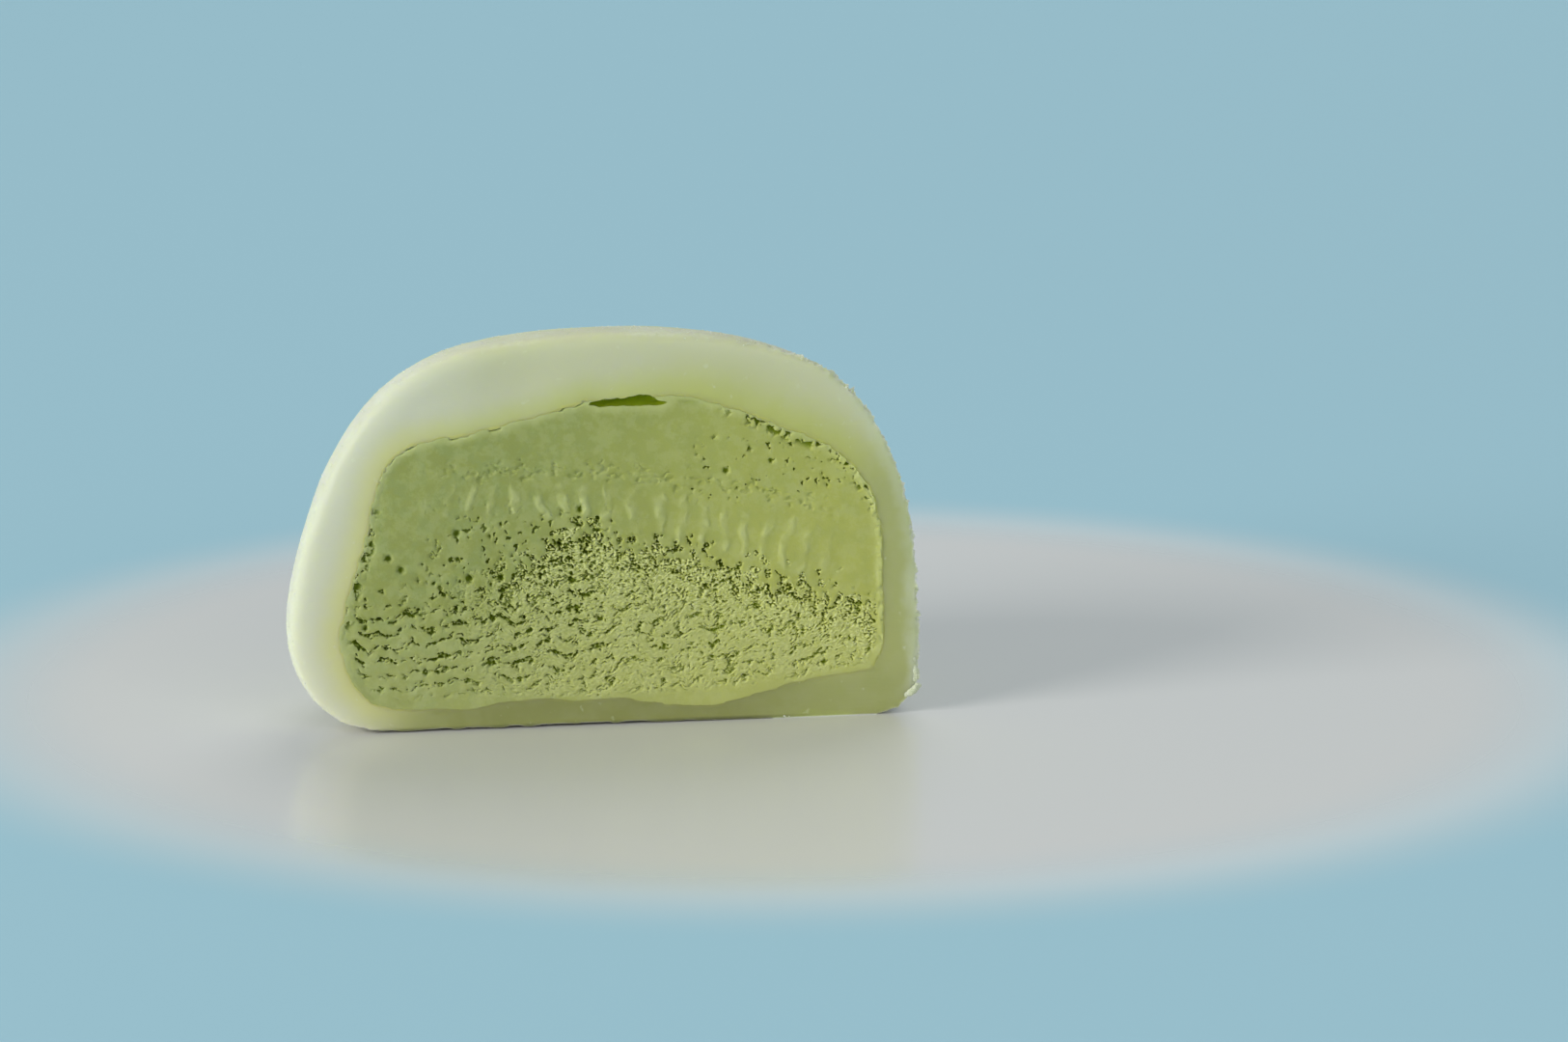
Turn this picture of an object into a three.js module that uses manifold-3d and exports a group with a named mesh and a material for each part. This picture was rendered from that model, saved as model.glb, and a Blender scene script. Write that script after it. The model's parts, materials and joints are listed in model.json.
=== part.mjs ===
// Half of a green-tea mochi ice cream: a soft rice-dough skin around a core of ice cream,
// cut through the middle and standing on its flat base with the cut towards -Y.
//
// Units are millimetres, +Z is up and +X runs along the cut. Each body is modelled as the
// whole round bun, turned about +Z, and the front half is then cut away, so the section shows
// the true outlines. The bun is uneven: its right and left halves have outlines of their own,
// and the ones between them are blends. The origin is under the middle of the finished half.

import * as THREE from "three";
import { mergeVertices } from "three/addons/utils/BufferGeometryUtils.js";
import Module from "manifold-3d";

const wasm = await Module();
wasm.setup();

// Driving dimensions of the dough.
const doughRadius = 24.2;
const doughHeight = 30.3;
const baseRight = 21.2; // ends of the flat base in the cut plane
const baseLeft = 17.4;
const hollowDepth = 0.25; // of the soft unevenness that fingers leave round the back
const backFall = 0.0066; // per millimetre: how fast the top curves down behind the cut

// Driving dimensions of the ice cream.
const coreTop = 25.8;
const coreBottom = 1.5; // under the middle of the ice cream
const coreRight = 21.45;
const coreLeft = 20.1;
const coreShallow = 0.97; // the ice cream reaches a little less far back than sideways
const fitGap = 0.3; // between the ice cream and the dough

// The ice cream has sunk away from the dough at the top of the cut, which leaves a slit.
const slitMiddle = 2;
const slitHalfWidth = 4.5;
const slitHeight = 0.5;

// How finely the bodies are divided.
const doughSegments = 84;
const coreSegments = 68;
const doughSteps = 40;
const coreSteps = 36;

// Half outlines in the cut plane as [distance from the axis, height], each from the middle
// of the underside to the middle of the top. The first stretch of the dough's is its flat base.
const doughOnTheRight = [
  [baseRight, 0],
  [23.3, 0.9],
  [doughRadius, 3.4],
  [doughRadius, 8.8],
  [23.7, 14.6],
  [22.5, 19.4],
  [20.4, 23.6],
  [17, 27],
  [12.1, 29.1],
  [6, doughHeight - 0.2],
  [0, doughHeight],
];
const doughOnTheLeft = [
  [baseLeft, 0],
  [21.2, 1.5],
  [23.5, 4.3],
  [doughRadius, 7.6],
  [23.9, 10.6],
  [22.9, 15],
  [21.3, 19.6],
  [18.9, 23.7],
  [15.6, 27],
  [11.2, 29],
  [6, doughHeight - 0.4],
  [0, doughHeight],
];
const coreOnTheRight = [
  [0, coreBottom + 0.6],
  [1.5, coreBottom + 0.7],
  [4.6, coreBottom],
  [8, coreBottom - 0.2],
  [11.8, 2.1],
  [16, 3.1],
  [20.3, 3.7],
  [21.3, 4.8],
  [coreRight, 7.5],
  [21.4, 12],
  [21, 16],
  [19.6, 19],
  [16.7, 21.4],
  [13, 22.9],
  [10, 24.2],
  [6.5, 25.2],
  [2.8, coreTop],
  [0, coreTop - 0.2],
];
const coreOnTheLeft = [
  [0, coreBottom + 0.6],
  [2.5, coreBottom + 0.5],
  [6.5, coreBottom + 0.7],
  [11, coreBottom + 0.2],
  [16, 1.9],
  [18.3, 2.8],
  [19.6, 4.8],
  [coreLeft, 7.6],
  [19.5, 10.6],
  [18.1, 14.8],
  [17.2, 19],
  [16, 21.2],
  [13.8, 22.3],
  [9.5, 23],
  [4.2, 24.2],
  [0.8, 25.4],
  [0, coreTop - 0.2],
];

const knots = (outline) => outline.map(([distance, height]) => new THREE.Vector2(distance, height));

// Evenly spaced points along a half outline.
function sample(outline, steps) {
  return new THREE.SplineCurve(knots(outline)).getSpacedPoints(steps);
}

// The dough's half outline: a straight flat base out to its first knot, and then the spline.
function sampleWithBase(outline, steps) {
  const curve = new THREE.SplineCurve(knots(outline));
  const base = outline[0][0];
  const baseSteps = Math.round((steps * base) / (base + curve.getLength()));
  const flat = new THREE.LineCurve(new THREE.Vector2(0, 0), new THREE.Vector2(base, 0));
  return flat.getSpacedPoints(baseSteps).concat(curve.getSpacedPoints(steps - baseSteps).slice(1));
}

// Points moved towards the inside of a half outline that runs from the bottom to the top.
// Its two ends stay on the axis.
function inset(points, distance) {
  const last = points.length - 1;
  return points.map((point, i) => {
    const along = points[Math.min(i + 1, last)].clone().sub(points[Math.max(i - 1, 0)]).normalize();
    const moved = new THREE.Vector2(point.x - along.y * distance, point.y + along.x * distance);
    if (i === 0 || i === last) moved.x = 0;
    return moved;
  });
}

// A whole bun: the right half outline turned about the axis, with every vertex then moved to
// the blend of both half outlines for its bearing, and shaped by reshape(point, bearing).
function turnedBun(right, left, segments, reshape = (point) => point) {
  const geometry = new THREE.LatheGeometry(right, segments);
  const position = geometry.getAttribute("position");
  const point = new THREE.Vector3();
  for (let i = 0; i < position.count; i++) {
    const segment = Math.floor(i / right.length);
    const bearing = (segment / segments) * 2 * Math.PI;
    const step = i % right.length;
    const leftShare = (1 - Math.cos(bearing)) / 2;
    const profile = right[step].clone().lerp(left[step], leftShare);
    point.set(profile.x * Math.cos(bearing), profile.x * Math.sin(bearing), profile.y);
    reshape(point, bearing);
    position.setXYZ(i, point.x, point.y, point.z);
  }
  geometry.deleteAttribute("normal");
  geometry.deleteAttribute("uv");
  return solidOf(mergeVertices(geometry, 1e-4));
}

function solidOf(geometry) {
  const index = geometry.getIndex();
  return new wasm.Manifold(
    new wasm.Mesh({
      numProp: 3,
      vertProperties: new Float32Array(geometry.getAttribute("position").array),
      triVerts: new Uint32Array(index.array),
    }),
  );
}

function meshOf(solid, name, material) {
  const { vertProperties, triVerts } = solid.getMesh();
  const geometry = new THREE.BufferGeometry();
  geometry.setAttribute("position", new THREE.BufferAttribute(vertProperties, 3));
  geometry.setIndex(new THREE.BufferAttribute(triVerts, 1));
  geometry.computeVertexNormals();
  const mesh = new THREE.Mesh(geometry, material);
  mesh.name = name;
  return mesh;
}

// Shallow hollows where fingers closed the dough. They fade out at the cut, the base and the top.
function pressedByFingers(point, bearing) {
  const reach = Math.hypot(point.x, point.y) / doughRadius;
  const onTheWall = THREE.MathUtils.smoothstep(point.z, 0, 7) * THREE.MathUtils.smoothstep(reach, 0.1, 0.8);
  const wave = Math.sin(5.2 * bearing + 0.18 * point.z) + 0.6 * Math.sin(8.6 * bearing - 0.27 * point.z);
  const pressed = hollowDepth * onTheWall * Math.sin(bearing) ** 2 * (1 + wave);
  const keep = 1 - pressed / doughRadius;
  point.set(point.x * keep, point.y * keep, point.z);
}

// The top is highest at the cut and falls away behind it. The base stays flat.
function fallsAwayBehindTheCut(point, bearing) {
  pressedByFingers(point, bearing);
  point.z -= backFall * point.y ** 2 * (point.z / doughHeight);
}

function reachesLessFarBack(point) {
  point.y *= coreShallow;
}

// The slit runs back from the cut and closes gently at both ends.
function sunkFromTheDough(point) {
  reachesLessFarBack(point);
  const across = Math.abs(point.x - slitMiddle) / slitHalfWidth;
  const nearTheTop = THREE.MathUtils.smoothstep(point.z, coreTop - 3.5, coreTop - 1.5);
  if (across < 1) point.z -= slitHeight * nearTheTop * Math.cos((across * Math.PI) / 2) ** 2;
}

function knife() {
  const length = 4 * doughRadius;
  const blade = new THREE.BoxGeometry(length, length, length);
  blade.translate(0, -length / 2, 0);
  blade.deleteAttribute("normal");
  blade.deleteAttribute("uv");
  return solidOf(mergeVertices(blade));
}

const hollowRight = sample(coreOnTheRight, coreSteps);
const hollowLeft = sample(coreOnTheLeft, coreSteps);

function mochiSkin() {
  const outside = turnedBun(
    sampleWithBase(doughOnTheRight, doughSteps),
    sampleWithBase(doughOnTheLeft, doughSteps),
    doughSegments,
    fallsAwayBehindTheCut,
  );
  const hollow = turnedBun(hollowRight, hollowLeft, coreSegments, reachesLessFarBack);
  const dough = new THREE.MeshStandardMaterial({ color: 0xc3cba0, roughness: 0.6, metalness: 0 });
  return meshOf(outside.subtract(hollow).subtract(knife()), "mochi_skin", dough);
}

function iceCreamCore() {
  const core = turnedBun(inset(hollowRight, fitGap), inset(hollowLeft, fitGap), coreSegments, sunkFromTheDough);
  const cream = new THREE.MeshStandardMaterial({ color: 0x9aac66, roughness: 0.75, metalness: 0 });
  return meshOf(core.subtract(knife()), "ice_cream_core", cream);
}

const half = new THREE.Group();
half.add(mochiSkin(), iceCreamCore());

// The origin goes under the middle of the whole.
const extent = new THREE.Box3().setFromObject(half);
const middle = extent.getCenter(new THREE.Vector3());
half.position.set(-middle.x, -middle.y, -extent.min.z);

export default half;
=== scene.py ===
import json
import math
from functools import reduce
from types import SimpleNamespace

import bpy
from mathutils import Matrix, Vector

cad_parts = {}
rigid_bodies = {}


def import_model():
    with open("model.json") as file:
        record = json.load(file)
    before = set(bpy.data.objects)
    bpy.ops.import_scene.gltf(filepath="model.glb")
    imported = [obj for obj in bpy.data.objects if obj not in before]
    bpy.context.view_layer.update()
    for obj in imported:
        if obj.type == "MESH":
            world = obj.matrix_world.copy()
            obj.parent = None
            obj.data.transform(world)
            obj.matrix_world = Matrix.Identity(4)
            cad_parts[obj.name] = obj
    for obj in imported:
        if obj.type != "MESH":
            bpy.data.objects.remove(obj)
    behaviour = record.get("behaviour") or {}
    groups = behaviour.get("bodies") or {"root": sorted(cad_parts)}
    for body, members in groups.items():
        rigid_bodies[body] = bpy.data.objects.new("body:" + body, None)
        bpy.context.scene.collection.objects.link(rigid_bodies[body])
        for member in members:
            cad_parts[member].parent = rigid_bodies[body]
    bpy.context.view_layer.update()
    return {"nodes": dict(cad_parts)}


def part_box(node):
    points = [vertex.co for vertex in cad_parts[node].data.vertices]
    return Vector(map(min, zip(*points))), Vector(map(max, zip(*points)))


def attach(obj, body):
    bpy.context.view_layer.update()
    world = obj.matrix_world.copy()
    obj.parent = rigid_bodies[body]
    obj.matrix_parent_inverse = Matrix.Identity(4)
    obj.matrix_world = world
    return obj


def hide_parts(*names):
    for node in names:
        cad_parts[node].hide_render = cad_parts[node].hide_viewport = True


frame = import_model()
skinLow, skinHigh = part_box("mochi_skin")
coreLow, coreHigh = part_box("ice_cream_core")
mm = 0.001
cutY = skinLow.y              # the knife's plane
cutMm = cutY / mm             # the same in millimetres
samePlace = 0.001 * mm        # corners nearer than this are one
frontBand = 0.1 * mm          # and those nearer than this to the knife's plane belong to the cut


def leaveEditing():
    bpy.ops.object.mode_set(mode="OBJECT")


def selectOnly(piece):
    if bpy.context.object and bpy.context.object.mode != "OBJECT":
        leaveEditing()
    bpy.ops.object.select_all(action="DESELECT")
    piece.select_set(True)
    bpy.context.view_layer.objects.active = piece


def editAll(piece):
    selectOnly(piece)
    bpy.ops.object.mode_set(mode="EDIT")
    bpy.ops.mesh.select_all(action="SELECT")


def editNone(piece, kind="VERT"):
    editAll(piece)
    bpy.ops.mesh.select_mode(type=kind)
    bpy.ops.mesh.select_all(action="DESELECT")


def editWhere(piece, wanted):
    # edit mode with only the vertices selected whose place is wanted
    editNone(piece)
    leaveEditing()
    for vertex in piece.data.vertices:
        vertex.select = wanted(vertex.co)
    bpy.ops.object.mode_set(mode="EDIT")


def applyModifier(piece, kind, **settings):
    selectOnly(piece)
    bpy.ops.object.modifier_add(type=kind)
    modifier = piece.modifiers[-1]
    for name, value in settings.items():
        setattr(modifier, name, value)
    bpy.ops.object.modifier_apply(modifier=modifier.name)


def copyOfNode(nodeName, pieceName):
    piece = bpy.data.objects.new(pieceName, frame["nodes"][nodeName].data.copy())
    bpy.context.scene.collection.objects.link(piece)
    piece.data.materials.clear()
    editAll(piece)
    bpy.ops.mesh.remove_doubles(threshold=samePlace)
    leaveEditing()
    return piece


def flattenFront(piece):
    # the vertices at the knife's plane go exactly onto it
    editWhere(piece, lambda place: place.y < cutY + frontBand)
    bpy.ops.transform.resize(value=(1, 0, 1), center_override=(0, cutY, 0))
    leaveEditing()


def joinParts(parts, name):
    selectOnly(parts[0])
    for part in parts:
        part.select_set(True)
    bpy.ops.object.join()
    parts[0].name = name
    return parts[0]


def remove(piece):
    selectOnly(piece)
    bpy.ops.object.delete()


def dress(piece, material):
    piece.data.materials.clear()
    piece.data.materials.append(material)
    piece.data.polygons.foreach_set("material_index", [0] * len(piece.data.polygons))


def countTriangles(piece):
    return sum(len(face.vertices) - 2 for face in piece.data.polygons)


# Node helpers, which work in materials and in geometry nodes alike. They add to the tree started last.

building = {}


def startTree(tree):
    building["tree"] = tree
    return tree


def link(output, socket):
    building["tree"].links.new(output, socket)


def addNode(kind, sockets=None, **settings):
    made = building["tree"].nodes.new(kind)
    for name, value in settings.items():
        setattr(made, name, value)
    for name, value in (sockets or {}).items():
        if isinstance(value, bpy.types.NodeSocket):
            link(value, made.inputs[name])
        else:
            made.inputs[name].default_value = value
    return made


def calc(operation, *values):
    return addNode("ShaderNodeMath", dict(enumerate(values)), operation=operation).outputs[0]


def vectorCalc(operation, *values):
    return addNode("ShaderNodeVectorMath", dict(enumerate(values)), operation=operation).outputs[0]


def scaled(vector, amount):
    return addNode("ShaderNodeVectorMath", {0: vector, "Scale": amount}, operation="SCALE").outputs[0]


def total(*values):
    return reduce(lambda first, second: calc("ADD", first, second), values)


def product(*values):
    return reduce(lambda first, second: calc("MULTIPLY", first, second), values)


def minus(first, second):
    return calc("SUBTRACT", first, second)


def inverse(value):
    return minus(1.0, value)


def ramp(value, start, end, fromValue=0.0, toValue=1.0):
    # eases from fromValue to toValue as value goes from start to end
    return addNode("ShaderNodeMapRange", {0: value, 1: start, 2: end, 3: fromValue, 4: toValue},
                   interpolation_type="SMOOTHSTEP").outputs[0]


def noise(place, size, detail=2.0, roughness=0.5, stretch=(1, 1, 1), shift=(0, 0, 0)):
    # soft noise around 0.5, with lumps of about the given size
    scale = [1 / (size * share) for share in stretch]
    at = vectorCalc("MULTIPLY_ADD", place, scale, shift)
    return addNode("ShaderNodeTexNoise", {"Vector": at, "Scale": 1.0, "Detail": detail,
                                          "Roughness": roughness}).outputs[0]


def uneven(place, size, amount, detail=1.0, shift=(0, 0, 0)):
    # the same noise around zero, as a length
    return product(minus(noise(place, size, detail, shift=shift), 0.5), amount)


def split(vector):
    return addNode("ShaderNodeSeparateXYZ", {0: vector}).outputs


def mixColour(share, first, second):
    return addNode("ShaderNodeMix", {0: share, 6: first, 7: second}, data_type="RGBA").outputs[2]


def layered(colour, *layers):
    # each further tone lies over the ones before it, by its share
    for share, tone in layers:
        colour = mixColour(share, colour, tone)
    return colour


def startGeometryNodes(name):
    tree = startTree(bpy.data.node_groups.new(name, "GeometryNodeTree"))
    tree.interface.new_socket("Geometry", in_out="INPUT", socket_type="NodeSocketGeometry")
    tree.interface.new_socket("Geometry", in_out="OUTPUT", socket_type="NodeSocketGeometry")
    return addNode("NodeGroupInput").outputs[0]


def finishNodes(geometry):
    link(geometry, addNode("NodeGroupOutput").inputs[0])
    return building["tree"]


def placeInMillimetres():
    return scaled(addNode("GeometryNodeInputPosition").outputs[0], 1 / mm)


def surfaceNormal():
    return addNode("GeometryNodeInputNormal").outputs[0]


def storeNumber(geometry, name, value):
    return addNode("GeometryNodeStoreNamedAttribute", {"Geometry": geometry, "Name": name, "Value": value},
                   data_type="FLOAT", domain="POINT").outputs[0]


def meshOfPiece(other):
    made = addNode("GeometryNodeObjectInfo", {"Object": other}, transform_space="RELATIVE")
    return made.outputs["Geometry"]


def facesWhere(geometry, wanted):
    return addNode("GeometryNodeSeparateGeometry", {0: geometry, 1: wanted}, domain="FACE").outputs[0]


def distanceTo(geometry):
    # distance from each point to some faces, in millimetres
    near = addNode("GeometryNodeProximity", {"Geometry": geometry}, target_element="FACES")
    return product(near.outputs["Distance"], 1 / mm)


def movePoints(geometry, offset, **sockets):
    return addNode("GeometryNodeSetPosition", {"Geometry": geometry, "Offset": offset, **sockets}).outputs[0]


def startMaterial(name):
    material = bpy.data.materials.new(name)
    material.use_nodes = True
    tree = startTree(material.node_tree)
    return material, tree.nodes["Principled BSDF"], addNode("ShaderNodeTexCoord").outputs["Object"]


# Camera, stage and light.

camera = {
    "azimuth": -7.5, "elevation": 12.0,          # in degrees
    "distance": 0.445, "lens": 135, "sensorWidth": 36, "clipStart": 0.01,
    "aimBeside": 13.57 * mm, "aimAbove": 0.6 * mm, "middleHeight": 0.0152,
}
stage = {
    "radius": 1.6, "corners": 128, "centre": (15 * mm, 0, 0),
    "paleTo": 0.052, "blueFrom": 0.074,          # the pale middle fades into blue between these radii
    "pale": (0.74, 0.725, 0.70, 1), "blue": (0.375, 0.62, 0.72, 1),
    "paleRoughness": 0.22, "blueRoughness": 0.75, "specular": 0.35,
    "sky": (0.80, 0.92, 1.0, 1), "skyLow": 0.55, "skyHigh": 0.26,
}
lamps = {
    "windowLight": {"place": (-1.47, -0.68, 0.57), "size": 0.95, "power": 23.0, "colour": (1.0, 0.985, 0.95)},
    "fillLight": {"place": (0.25, -0.85, 0.30), "size": 0.70, "power": 1.8, "colour": (1.0, 1.0, 1.0)},
    "backLight": {"place": (0.35, 0.95, 1.15), "size": 1.1, "power": 7.0, "colour": (0.97, 1.0, 0.97)},
}


def makeCamera():
    azimuth, elevation = math.radians(camera["azimuth"]), math.radians(camera["elevation"])
    back = Vector((math.sin(azimuth) * math.cos(elevation), -math.cos(azimuth) * math.cos(elevation),
                   math.sin(elevation)))
    right = Vector((math.cos(azimuth), math.sin(azimuth), 0))
    target = Vector((0, cutY, camera["middleHeight"]))
    spot = target + back * camera["distance"]
    aim = target + right * camera["aimBeside"] + Vector((0, 0, camera["aimAbove"]))
    bpy.ops.object.camera_add(location=spot)
    eye = bpy.context.object
    eye.data.lens = camera["lens"]
    eye.data.sensor_width = camera["sensorWidth"]
    eye.data.clip_start = camera["clipStart"]
    eye.rotation_mode = "QUATERNION"
    eye.rotation_quaternion = (aim - spot).to_track_quat("-Z", "Y")
    bpy.context.scene.camera = eye


def floorMaterial():
    material, shader, where = startMaterial("floor")
    fromCentre = addNode("ShaderNodeVectorMath", {0: where, 1: stage["centre"]}, operation="DISTANCE")
    far = ramp(fromCentre.outputs["Value"], stage["paleTo"], stage["blueFrom"])
    link(mixColour(far, stage["pale"], stage["blue"]), shader.inputs["Base Color"])
    link(ramp(far, 0, 1, stage["paleRoughness"], stage["blueRoughness"]), shader.inputs["Roughness"])
    shader.inputs["Specular IOR Level"].default_value = stage["specular"]
    return material


def makeStage():
    bpy.ops.mesh.primitive_circle_add(vertices=stage["corners"], radius=stage["radius"], fill_type="NGON")
    floor = bpy.context.object
    floor.name = "floor"
    floor.data.materials.append(floorMaterial())


def softbox(name, place, size, power, colour):
    bpy.ops.object.light_add(type="AREA", location=place)
    lamp = bpy.context.object
    lamp.name = name
    lamp.data.shape = "DISK"
    lamp.data.size = size
    lamp.data.energy = power
    lamp.data.color = colour
    aim = Vector((0, 0, camera["middleHeight"]))
    lamp.rotation_mode = "QUATERNION"
    lamp.rotation_quaternion = (aim - lamp.location).to_track_quat("-Z", "Y")


def makeLight():
    world = bpy.data.worlds.new("studio")
    bpy.context.scene.world = world
    world.use_nodes = True
    backing = startTree(world.node_tree).nodes["Background"]
    backing.inputs["Color"].default_value = stage["sky"]
    upward = split(addNode("ShaderNodeTexCoord").outputs["Generated"])["Z"]
    link(ramp(upward, 0.1, 0.8, stage["skyLow"], stage["skyHigh"]), backing.inputs["Strength"])
    for name, lamp in lamps.items():
        softbox(name, **lamp)
    bpy.context.scene.view_settings.view_transform = "Standard"


# The filling's body, which the skin and the ice cream are both cut from.

filling = {
    "spread": 0.34 * mm,          # how far it swells to fill the gap that the solids keep
    "voxel": 0.5 * mm,
    "outlineLumps": 2.2, "unevenness": 0.28,     # of its outline, in millimetres
    "fineLumps": 0.6, "fineUnevenness": 0.10,    # and of the finished rim
    "overCut": 1.0 * mm,          # the body reaches this far past the knife
    "intoDough": 0.13 * mm,       # the ice cream reaches this far into the dough, so that the seam stays shut
    "proud": 0.02,                # and stands this far out of the cut, in millimetres
}
slit = {
    "blobs": [                    # middle beside, middle above, half width and half height, in millimetres
        (1.25, 24.93, 2.50, 0.36),
        (2.75, 25.06, 1.30, 0.47),
        (3.60, 24.86, 1.25, 0.22),
    ],
    "segments": 48, "rings": 24,                 # of each ball that becomes a blob
    "bottom": 24.68 * mm, "flattening": 0.1, "depth": 0.8 * mm,
    "voxel": 0.07 * mm, "roundingPasses": 12, "roundingFactor": 0.5,
    "raggedLumps": 0.8, "raggedness": 0.14,
}


def wobble(name, size, amount, nearest=None):
    # moves points across the cut, never along it, so that what touches still touches
    geometry = startGeometryNodes(name)
    made = addNode("ShaderNodeTexNoise", {"Vector": placeInMillimetres(), "Scale": 1 / size, "Detail": 1.5})
    centred = vectorCalc("SUBTRACT", made.outputs["Color"], (0.5, 0.5, 0.5))
    reach = 2 * amount * mm
    offset = vectorCalc("MULTIPLY", centred, (reach, 0, reach))
    if nearest:
        offset = scaled(offset, ramp(distanceTo(meshOfPiece(nearest)), 1.0, 0.2))
    return finishNodes(movePoints(geometry, offset))


def makeFillingBody():
    body = copyOfNode("ice_cream_core", "fillingBody")
    applyModifier(body, "DISPLACE", strength=filling["spread"], mid_level=0)
    flattenFront(body)
    applyModifier(body, "REMESH", mode="VOXEL", voxel_size=filling["voxel"])
    editWhere(body, lambda place: place.y < cutY + 0.2 * mm)
    bpy.ops.transform.translate(value=(0, -filling["overCut"], 0))
    leaveEditing()
    outline = wobble("unevenOutline", filling["outlineLumps"], filling["unevenness"])
    applyModifier(body, "NODES", node_group=outline)
    print("filling body:", len(body.data.polygons), "faces")
    return body


def makeSlitCutter():
    # the flat pocket of air where the ice cream sank away from the dough, with a hump at its right
    parts = []
    for beside, above, halfWidth, halfHeight in slit["blobs"]:
        bpy.ops.mesh.primitive_uv_sphere_add(segments=slit["segments"], ring_count=slit["rings"], radius=1)
        blob = bpy.context.object
        editAll(blob)
        bpy.ops.transform.resize(value=(halfWidth * mm, slit["depth"], halfHeight * mm))
        bpy.ops.transform.translate(value=(beside * mm, cutY, above * mm))
        leaveEditing()
        parts.append(blob)
    cutter = joinParts(parts, "slitCutter")
    applyModifier(cutter, "REMESH", mode="VOXEL", voxel_size=slit["voxel"])
    editWhere(cutter, lambda place: place.z < slit["bottom"])
    bpy.ops.transform.resize(value=(1, 1, slit["flattening"]), center_override=(0, 0, slit["bottom"]))
    leaveEditing()
    applyModifier(cutter, "SMOOTH", factor=slit["roundingFactor"], iterations=slit["roundingPasses"])
    applyModifier(cutter, "NODES", node_group=wobble("raggedSlit", slit["raggedLumps"], slit["raggedness"]))
    return cutter


# The dough skin.

skin = {
    "voxel": 0.25 * mm, "smoothAngle": 45,
    "thinnest": 0.005 * mm,                      # faces narrower than this are merged away
    "roundingPasses": 110, "roundingFactor": 0.9,
    "roundLeft": 1.0, "roundTop": 0.34, "roundRight": 0.03,
    "leftBand": (0.25, 0.7), "crispBand": (0.35, 0.65), "topBand": (0.6, 0.85),
    "baseBand": (0.8 * mm, 4.3 * mm), "depthBand": (4 * mm, 2.5 * mm),
    "wideSize": 8, "wideLumps": 0.35,            # of its outside, in millimetres
    "smallSize": 1.6, "smallLumps": 0.06,
    "frostSize": 0.34, "frostLumps": 1.8,        # of the cut's outer edge at the right
    "lift": 0.24,                                # of the base along the cut
}


def howFar(value, start, end):
    # 0 at start, 1 at end, straight between them
    return min(max((value - start) / (end - start), 0), 1)


def roundingWeights(piece):
    # how soft the cut edge is: wide on the left, narrower over the top, crisp at the right and along the base
    group = piece.vertex_groups.new(name="rounding")
    for vertex in piece.data.vertices:
        x, y, z = vertex.co
        if y > cutY + skin["depthBand"][0]:
            continue
        left = howFar(-x / skinHigh.x, *skin["leftBand"])
        crisp = howFar(x / skinHigh.x, *skin["crispBand"])
        top = howFar(z / skinHigh.z, *skin["topBand"]) * (1 - 0.8 * crisp)
        weight = max(skin["roundLeft"] * left, skin["roundTop"] * top, skin["roundRight"])
        weight *= howFar(z, *skin["baseBand"]) * howFar(y - cutY, *skin["depthBand"])
        group.add([vertex.index], weight, "REPLACE")


def makeSkin(body, cutter):
    piece = copyOfNode("mochi_skin", "rice_dough_skin")
    plug = copyOfNode("ice_cream_core", "plug")
    applyModifier(plug, "DISPLACE", strength=filling["spread"] * 2, mid_level=0)
    flattenFront(plug)
    joinParts([piece, plug], "rice_dough_skin")
    applyModifier(piece, "REMESH", mode="VOXEL", voxel_size=skin["voxel"])
    roundingWeights(piece)
    applyModifier(piece, "SMOOTH", factor=skin["roundingFactor"], iterations=skin["roundingPasses"],
                  vertex_group="rounding")
    piece.vertex_groups.clear()
    applyModifier(piece, "NODES", node_group=skinLumps())
    for other in (body, cutter):
        applyModifier(piece, "BOOLEAN", operation="DIFFERENCE", object=other, solver="MANIFOLD")
    outline = wobble("fineOutline", filling["fineLumps"], filling["fineUnevenness"], body)
    applyModifier(piece, "NODES", node_group=outline)
    editAll(piece)
    bpy.ops.mesh.dissolve_degenerate(threshold=skin["thinnest"])
    leaveEditing()
    dropTwins(piece)
    applyModifier(piece, "NODES", node_group=skinMasks(body))
    bpy.ops.object.shade_smooth_by_angle(angle=math.radians(skin["smoothAngle"]))
    print("dough skin:", countTriangles(piece), "triangles")
    return piece


def dropTwins(piece):
    # two faces that lie back to back on the same corners enclose nothing, so both go
    editNone(piece, "FACE")
    leaveEditing()
    sharing = {}
    for face in piece.data.polygons:
        sharing.setdefault(frozenset(face.vertices), []).append(face)
    twins = [face for faces in sharing.values() if len(faces) > 1 for face in faces]
    for face in twins:
        face.select = True
    bpy.ops.object.mode_set(mode="EDIT")
    bpy.ops.mesh.delete(type="FACE")
    bpy.ops.mesh.select_mode(type="VERT")
    leaveEditing()
    print("faces back to back, taken out:", len(twins))


def lumps(place):
    # how far the dough swells out, in millimetres, which the ice cream's rim follows
    swell = total(uneven(place, skin["wideSize"], skin["wideLumps"]),
                  uneven(place, skin["smallSize"], skin["smallLumps"], 2.0, (3, 1, 7)))
    return product(swell, ramp(split(place)["Z"], 0.1, 1.5))


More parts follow.
